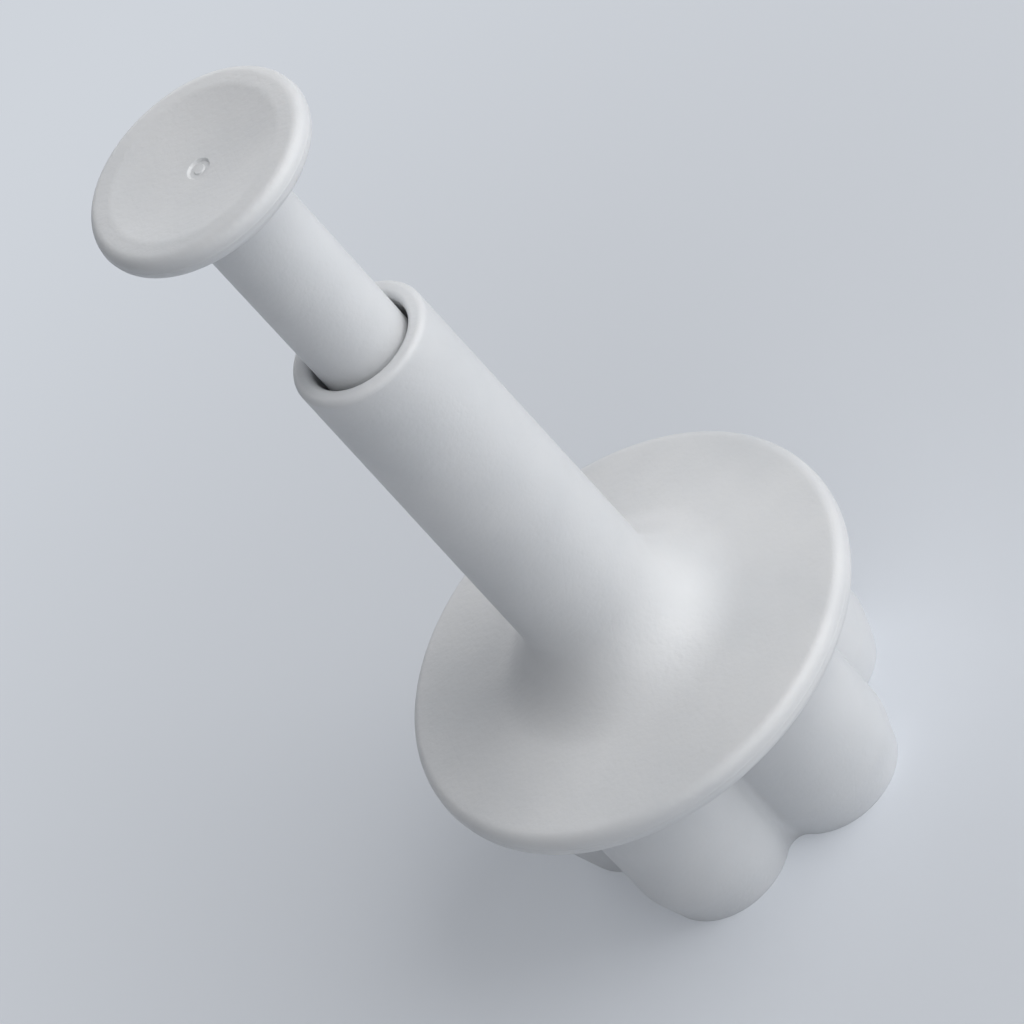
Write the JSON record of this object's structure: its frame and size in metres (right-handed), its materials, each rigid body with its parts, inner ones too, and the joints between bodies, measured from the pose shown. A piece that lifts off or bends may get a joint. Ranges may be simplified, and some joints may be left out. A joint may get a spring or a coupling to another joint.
{
  "type": "flower cutter",
  "caption": "Hand-held plunger cutter for rolled paste: a slim barrel with a finger flange over a flower-shaped cutting wall, and a sprung thumb plunger that embosses and ejects the piece.",
  "frame": {"origin": "on the plunger's axis in the plane of the cutting edge, the bottom centre of the bounding box", "axes": "+Z along the plunger from the cutting edge to the thumb button, -Y through the tip of one petal"},
  "size_m": [0.036, 0.036, 0.0736],
  "materials": {
    "white_plastic": "satin, as moulded",
    "spring_steel": "drawn wire"
  },
  "bodies": {
    "cutter": {"cutter_body": "white_plastic", "return_spring": "spring_steel"},
    "plunger": {"thumb_plunger": "white_plastic", "petal_embosser": "white_plastic"}
  },
  "joints": [
    {"name": "plunger_press", "type": "slide", "parent": "cutter", "child": "plunger", "axis": [0, 0, -1], "range_m": [0, 0.013], "stiffness_N_per_m": 300, "springref_m": -0.004, "deforming": ["return_spring"]}
  ]
}
